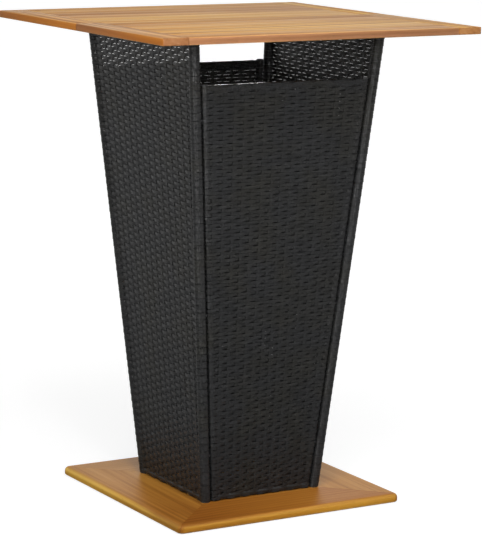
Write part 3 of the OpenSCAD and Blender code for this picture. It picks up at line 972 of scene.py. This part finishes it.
    def rail_cover(self, z: float) -> list[Mesh]:
        """Covers a level rail: strands lie along it, and every second stake loops round it.

        Args:
            z: The rail's height.

        Returns:
            The meshes, before the panel is turned.
        """
        thin = self.wrap_thickness / 2
        shared = {"Strand Thickness": thin, "Material": self.material}
        reach = self.tube_x(z) - self.edging.tube_radius
        staves = self.trees.staves.mesh(self.name + "_staves", shared | {
            "Radius": self.rail_radius + thin / 2, "Half Length": reach, "Strand Width": self.stave_width,
            "Staves": self.staves, "Points": self.stave_points})
        pitch = self.edging.stake_pitch + self.edging.stake_slope * self.climb(z)
        loops_each_side = int((reach / pitch - 1) / 2)
        loops = self.trees.rings.mesh(self.name + "_loops", shared | {
            "Radius": self.rail_radius + 1.5 * thin, "Step": 2 * pitch, "Strand Width": self.stake_width,
            "Tilt": self.wrap_tilt, "Rings": 2 * loops_each_side + 2, "Segments": 2 * self.staves,
            "Seed": self.face.value, "Start": (0.0, 0.0, -(2 * loops_each_side + 1) * pitch),
            "Lean": (0.0, 0.0, 0.0)})
        loops.transform(Matrix.Rotation(QUARTER, 4, "Y"))
        for part in (staves, loops):
            part.transform(Matrix.Translation((0.0, self.tube_y(z), z)))
        return [staves, loops]


@dataclass
class Pillar:
    """The tapered pillar: woven side panels round its posts, and woven panels between them in front and behind."""

    posts: Edging = Edging(
        low_end_z=0.022, high_end_z=1.084, high_rail_z=1.074, tube_radius=0.011, step_in=0.0,
        strand_thickness=0.0011, wave=0.0011, stake_pitch=0.0221, stake_slope=0.0063)
    stiles: Edging = Edging(
        low_end_z=0.0235, high_end_z=0.980, high_rail_z=0.9704, tube_radius=0.008, step_in=0.023793,
        strand_thickness=0.0013, wave=0.0014, stake_pitch=0.0194, stake_slope=0.0071)

    def build(self, material: Material) -> None:
        """Makes the four woven panels.

        Args:
            material: The strands' material.
        """
        trees = Trees()
        for face in Face:
            edging = self.posts if face in (Face.LEFT, Face.RIGHT) else self.stiles
            WovenPanel(face, edging, trees, material).build()


class Palette(Enum):
    """Tones of the oiled boards: pale, middle and deep."""

    HONEY = ((0.68, 0.385, 0.10), (0.56, 0.275, 0.056), (0.35, 0.14, 0.024))
    PINK = ((0.64, 0.35, 0.11), (0.52, 0.25, 0.062), (0.33, 0.13, 0.03))
    STRAW = ((0.73, 0.44, 0.12), (0.61, 0.315, 0.066), (0.40, 0.175, 0.032))
    RUSSET = ((0.48, 0.215, 0.039), (0.35, 0.128, 0.017), (0.20, 0.062, 0.008))
    TAWNY = ((0.57, 0.285, 0.057), (0.45, 0.195, 0.031), (0.24, 0.085, 0.012))


def eased_box(name: str, low: Vector, high: Vector, outer: float, inner: float, corner: float) -> Mesh:
    """Makes a planed board with eased arrises.

    Args:
        name: The mesh's name.
        low: The board's lowest corner.
        high: The board's highest corner.
        outer: Radius of the arrises on the table's outline.
        inner: Radius of the other arrises.
        corner: Radius of the upright edge that is a corner of the table, or 0.

    Returns:
        The mesh.
    """
    board = bmesh.new()
    bmesh.ops.create_cube(board, size=1.0)
    middle, size = (low + high) / 2, high - low
    for vertex in board.verts:
        vertex.co = middle + Vector(a * b for a, b in zip(vertex.co, size, strict=True))
    limit = CAD_BOX[1].x - RIM_PLAY

    def rounded(edges: list[bmesh.types.BMEdge], radius: float, segments: int) -> None:
        """Rounds some of the board's edges."""
        bmesh.ops.bevel(board, geom=edges, offset=radius, segments=segments, profile=0.5, affect="EDGES")

    def at_rim(vertex: bmesh.types.BMVert) -> tuple[bool, bool]:
        """Tells whether a vertex lies on the table's outline in X and in Y."""
        return abs(vertex.co.x) > limit, abs(vertex.co.y) > limit

    def on_outline(edge: bmesh.types.BMEdge) -> bool:
        """Tells whether a level edge runs along the table's outline."""
        a, b = edge.verts
        if abs(a.co.z - b.co.z) > TINY:
            return False
        near = [min(limit - abs(v.co.x), limit - abs(v.co.y)) < corner for v in edge.verts]
        along = any(all(pair) for pair in zip(at_rim(a), at_rim(b), strict=True))
        return along or (corner > 0 and all(near) and (a.co - b.co).length < corner)

    if corner:
        rounded([e for e in board.edges if all(all(at_rim(v)) for v in e.verts)], corner, 6)
    rounded([e for e in board.edges if on_outline(e)], outer, 4)
    rounded([e for e in board.edges if e.calc_face_angle(0.0) > SHARP_ANGLE], inner, 2)
    return finished_mesh(name, board)


@dataclass
class TopDeck:
    """The top: in each half, slats side by side and an end board across each end of them."""

    slat_tones: dict[str, tuple[Palette, ...]] = field(default_factory=lambda: {
        "front": (Palette.HONEY, Palette.PINK, Palette.HONEY, Palette.STRAW, Palette.HONEY, Palette.PINK),
        "back": (Palette.STRAW, Palette.STRAW, Palette.PINK, Palette.PINK, Palette.HONEY, Palette.HONEY)})
    end_tones: dict[str, tuple[Palette, ...]] = field(default_factory=lambda: {
        "front": (Palette.PINK, Palette.HONEY), "back": (Palette.PINK, Palette.STRAW)})
    knots: dict[str, tuple[Knot, ...]] = field(default_factory=lambda: {
        "front_slat_5": (Knot(-0.316, -0.299, 0.006, 1.6),), "back_slat_6": (Knot(-0.318, 0.362, 0.004, 1.3),)})
    outer_arris: float = 0.0018
    inner_arris: float = 0.0007
    corner_radius: float = 0.004

    def build(self) -> None:
        """Makes the slats, whose grain runs left to right, and the end boards, whose grain runs front to back."""
        for row, (half, tones) in enumerate(self.slat_tones.items()):
            for number, tone in enumerate(tones, 1):
                node = f"{half}_slat_{number}"
                shift = 0.37 * (number + len(tones) * row) + 0.11
                # Painted shade darkens the slats' sides.
                self.board(node, 0.0, Wood(
                    *tone.value, shift=shift, side_figure=0.35, knots=self.knots.get(node, ()),
                    painted_side_shading=(0.50, 0.47, 0.88)))
            for column, tone in enumerate(self.end_tones[half]):
                node = f"{half}_end_board_{('left', 'right')[column]}"
                # Painted shade tints the end boards' sides; their end grain keeps its own darker tint.
                self.board(node, self.corner_radius, Wood(
                    *tone.value, grain=Grain.ALONG_Y, shift=0.31 * (13 + 2 * row + column), figure=1.2,
                    side_figure=0.25, painted_side_shading=(0.82, 0.54, 0.16), end_tint=(0.58, 0.52, 0.80)))

    def board(self, node: str, corner: float, wood: Wood) -> None:
        """Makes one board of the top.

        Args:
            node: The CAD node.
            corner: Radius of the upright edge that is a corner of the table, or 0.
            wood: The board's wood.
        """
        mesh = eased_box(node, *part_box(node), self.outer_arris, self.inner_arris, corner)
        place_board(node, mesh, wood)


def arc(start: float, end: float, steps: int) -> list[Pair]:
    """Returns how far a round of radius 1 falls short of its corner, in X and Y, from one angle to another."""
    angles = [start + (end - start) * step / steps for step in range(steps + 1)]
    return [(1 - math.cos(angle), 1 - math.sin(angle)) for angle in angles]


@dataclass
class Base:
    """The foot board: four boards, mitred at the corners, with a rounded outer edge."""

    half: float = 0.289
    hole_half: float = 0.09
    low: float = 0.002
    high: float = 0.022
    top_round: float = 0.010
    foot_round: float = 0.005
    corner_radius: float = 0.014
    mitre_gap: float = 0.0004
    arc_steps: int = 8
    corner_steps: int = 5
    length_steps: int = 24
    # Darker towards the base's front-left corner, laid on as a wide patch.
    dark_corner: Knot = Knot(-0.27, -0.24, 0.17, 0.7)

    def build(self) -> None:
        """Makes the four boards."""
        for face in Face:
            node = "base_" + face.name.lower()
            tone = Palette.RUSSET if face is Face.FRONT else Palette.TAWNY
            # Painted light brightens the boards' sides, with a painted highlight along the rounded top edge.
            wood = Wood(
                *tone.value, grain=Grain.ALONG_X if face in (Face.FRONT, Face.BACK) else Grain.ALONG_Y,
                shift=5.3 + face.value * 0.013, ring_width=0.016, figure=0.3, side_figure=0.4, specular=0.07,
                knots=(self.dark_corner,), painted_side_shading=(1.35, 1.6, 1.2), edge_highlight=(0.3, 0.6, 1.4))
            place_board(node, self.board_mesh(node, face), wood)

    def section(self) -> list[Pair]:
        """Returns the board's section as pairs of inset from the outer edge and height, going round it once."""
        quarter = arc(0.0, QUARTER, self.arc_steps)
        foot = [(self.foot_round * y, self.low + self.foot_round * x) for x, y in quarter]
        top = [(self.top_round * x, self.high - self.top_round * y) for x, y in quarter]
        depth = self.half - self.hole_half
        return foot + top + [(depth, self.high), (depth, self.low)]

    def path(self, inset: float) -> list[Pair]:
        """Returns the plan of the front board's outline at an inset, from its left mitre to its right one."""
        side = self.half - inset
        radius = max(self.corner_radius - inset, 0.0)
        left = [(-side + radius * x, -side + radius * y) for x, y in arc(QUARTER / 2, QUARTER, self.corner_steps)]
        run = side - radius
        middle = [(-run + 2 * run * step / self.length_steps, -side) for step in range(1, self.length_steps)]
        return left + middle + [(-x, y) for x, y in reversed(left)]

    def board_mesh(self, name: str, face: Face) -> Mesh:
        """Makes one board of the base.

        Args:
            name: The mesh's name.
            face: The side of the table that the board lies on.

        Returns:
            The mesh.
        """
        gap = self.mitre_gap / math.sqrt(2)
        board = bmesh.new()
        lines = [[board.verts.new((x - math.copysign(gap, x), y, height)) for x, y in self.path(inset)]
                 for inset, height in self.section()]
        for line, following in zip(lines, lines[1:] + lines[:1], strict=True):
            for i in range(len(line) - 1):
                board.faces.new((line[i], line[i + 1], following[i + 1], following[i]))
        board.faces.new([line[0] for line in lines])
        board.faces.new([line[-1] for line in reversed(lines)])
        bmesh.ops.remove_doubles(board, verts=board.verts, dist=TINY)
        made = finished_mesh(name, board)
        made.transform(face_turn(face))
        return made


@dataclass
class Hardware:
    """The pieces that keep their CAD shape: frames, battens, dowels, splines, fasteners and glides."""

    steel: Plain = Plain("black_powder_coat", (0.018, 0.018, 0.019), 0.0, 0.5, 900.0, 0.0002)
    zinc: Plain = Plain("zinc_plate", (0.62, 0.62, 0.63), 1.0, 0.34, 300.0, 0.0001)
    black_zinc: Plain = Plain("black_zinc_plate", (0.03, 0.03, 0.032), 0.0, 0.4, 300.0, 0.0001)
    plastic: Plain = Plain("glide_plastic", (0.02, 0.02, 0.02), 0.0, 0.55, 500.0, 0.0001)

    def dress(self) -> None:
        """Gives each of these nodes its material."""
        batten = Wood(*Palette.PINK.value, grain=Grain.ALONG_Y, shift=9.1).material("batten_wood")
        beech = Wood((0.72, 0.52, 0.32), (0.64, 0.45, 0.26), (0.52, 0.34, 0.18), shift=4.4).material("dowel_beech")
        finishes = {
            self.steel.material(): ("left_side_frame", "right_side_frame", "front_panel_frame", "back_panel_frame"),
            self.zinc.material(): ("batten_screws", "top_screws", "base_bolts", "base_washers", "base_nuts"),
            self.black_zinc.material(): ("panel_bolts", "panel_saddle_washers", "panel_inserts"),
            self.plastic.material(): ("glides",),
            batten: ("batten_left", "batten_right"),
            beech: ("slat_dowels", "mitre_splines")}
        for material, nodes in finishes.items():
            for node in nodes:
                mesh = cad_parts[node].data
                mesh.materials.clear()
                mesh.materials.append(material)
                LOG.info("%s: %s", node, material.name)


@dataclass(frozen=True)
class Lamp:
    """A soft lamp: an upright or lying rectangle aimed at a point on the table's axis."""

    name: str
    spot: Triple
    width: float
    height: float
    power: float
    aim_z: float = 0.6
    beam: float = 180.0

    def build(self) -> None:
        """Makes the lamp."""
        data = bpy.data.lights.new(self.name, "AREA")
        data.shape, data.size, data.size_y = "RECTANGLE", self.width, self.height
        data.energy, data.spread = self.power, math.radians(self.beam)
        lamp = bpy.data.objects.new(self.name, data)
        lamp.visible_camera = False
        lamp.location = self.spot
        away = Vector((0.0, 0.0, self.aim_z)) - Vector(self.spot)
        lamp.rotation_euler = away.to_track_quat("-Z", "Y").to_euler()
        bpy.context.scene.collection.objects.link(lamp)


@dataclass
class Studio:
    """The floor, the lamps, the background and the camera."""

    lamps: tuple[Lamp, ...] = (
        Lamp("overhead", (-0.9, -2.4, 4.0), 2.2, 2.2, 124.0),
        Lamp("key", (-0.9, -3.35, 1.6), 0.4, 1.2, 6.5, aim_z=1.0, beam=60.0),
        Lamp("strip", (-2.9, -1.9, 1.1), 0.12, 1.8, 13.0, aim_z=0.9, beam=90.0),
        Lamp("rim", (1.5, 2.6, 1.04), 1.6, 0.14, 4.0, aim_z=1.04, beam=120.0),
        Lamp("fill", (3.0, -3.0, 2.2), 2.4, 2.4, 14.0))
    target: Triple = (0.01931, -0.01223, 0.52573)
    azimuth: float = -30.39746
    elevation: float = 10.28964
    roll: float = 0.79521
    distance: float = 5.68904
    lens: float = 165.664
    sensor: float = 36.0
    floor_half: float = 40.0
    ambient: float = 0.18
    floor_grey: float = 0.3
    floor_roughness: float = 0.9
    # Painted shadow on the floor: its glow and reflected glow rise from near the table's foot to far away, and stop
    # inside the base.
    near_glow: float = 0.82
    near_gloss: float = 0.15
    far_glow: float = 0.95
    far_gloss: float = 0.55
    sky_gloss: float = 0.65
    near_reach: float = 0.3
    far_reach: float = 3.0
    hole_reach: float = 0.13
    hole_blur: float = 0.01

    def build(self) -> None:
        """Makes all of it."""
        self.make_camera()
        self.make_world()
        self.make_floor()
        for lamp in self.lamps:
            lamp.build()
        bpy.context.scene.view_settings.view_transform = "Standard"

    def make_camera(self) -> None:
        """Puts the camera where the photograph was taken from."""
        azimuth, elevation = math.radians(self.azimuth), math.radians(self.elevation)
        back = Vector((math.sin(azimuth) * math.cos(elevation), -math.cos(azimuth) * math.cos(elevation),
                       math.sin(elevation)))
        right = (-back).cross(Vector((0.0, 0.0, 1.0))).normalized()
        level = Matrix((right, back.cross(right), back)).transposed().to_4x4()
        data = bpy.data.cameras.new("camera")
        data.lens, data.sensor_width = self.lens, self.sensor
        camera = bpy.data.objects.new("camera", data)
        camera.matrix_world = (Matrix.Translation(Vector(self.target) + back * self.distance) @ level
                               @ Matrix.Rotation(math.radians(self.roll), 4, "Z"))
        bpy.context.scene.collection.objects.link(camera)
        bpy.context.scene.camera = camera

    def seen_white(self, graph: Graph, direct: Value, glossy: Value) -> Socket:
        """Returns the background's strength for the rays that show it, and 0 for the light on the table.

        Args:
            graph: The graph of the background's material.
            direct: The strength straight to the camera or through glass.
            glossy: The strength in reflections.

        Returns:
            The output socket.
        """
        path = graph.add("ShaderNodeLightPath").outputs
        through = graph.math("MAXIMUM", path["Is Camera Ray"], path["Is Transmission Ray"])
        reflected = graph.times(path["Is Glossy Ray"], glossy)
        return graph.math("MAXIMUM", graph.times(through, direct), reflected)

    def make_world(self) -> None:
        """Makes a white background whose light on the table is even and soft."""
        world = bpy.data.worlds.new("studio")
        world.use_nodes = True
        bpy.context.scene.world = world
        graph = Graph(world.node_tree)
        strength = graph.spread(self.seen_white(graph, 1.0, self.sky_gloss), 0.0, 1.0, self.ambient, 1.0)
        graph.feed(world.node_tree.nodes["Background"], {"Color": (*WHITE, 1.0), "Strength": strength})

    def make_floor(self) -> None:
        """Makes a plain white floor that keeps the table's shadow, with painted shadow too: less glow around the
        table's foot, in view and in reflections, and none inside its base.
        """
        half, grey = self.floor_half, self.floor_grey
        mesh = bpy.data.meshes.new("floor")
        mesh.from_pydata([(-half, -half, 0), (half, -half, 0), (half, half, 0), (-half, half, 0)], [], [(0, 1, 2, 3)])
        floor = bpy.data.objects.new("floor", mesh)
        bpy.context.scene.collection.objects.link(floor)
        made, graph, shader = new_material("floor_white")
        away = graph.add("ShaderNodeVectorMath", {0: graph.object_place()}, operation="LENGTH").outputs["Value"]
        # Painted shadow: less glow near the table's foot and none inside the base.
        direct = graph.spread(away, self.near_reach, self.far_reach, self.near_glow, self.far_glow)
        glossy = graph.spread(away, self.near_reach, self.far_reach, self.near_gloss, self.far_gloss)
        outside = graph.spread(away, self.hole_reach, self.hole_reach + self.hole_blur)
        graph.feed(shader, {
            "Base Color": (grey, grey, grey, 1.0), "Roughness": self.floor_roughness, "Specular IOR Level": 0.0,
            "Emission Color": (*WHITE, 1.0),
            "Emission Strength": graph.times(self.seen_white(graph, direct, glossy), outside)})
        mesh.materials.append(made)


def main() -> None:
    """Builds the table and the studio in order."""
    logging.basicConfig(level=logging.INFO, format="%(message)s")
    Studio().build()
    TopDeck().build()
    Base().build()
    Hardware().dress()
    Pillar().build(Strand().material())


if __name__ == "__main__":
    main()
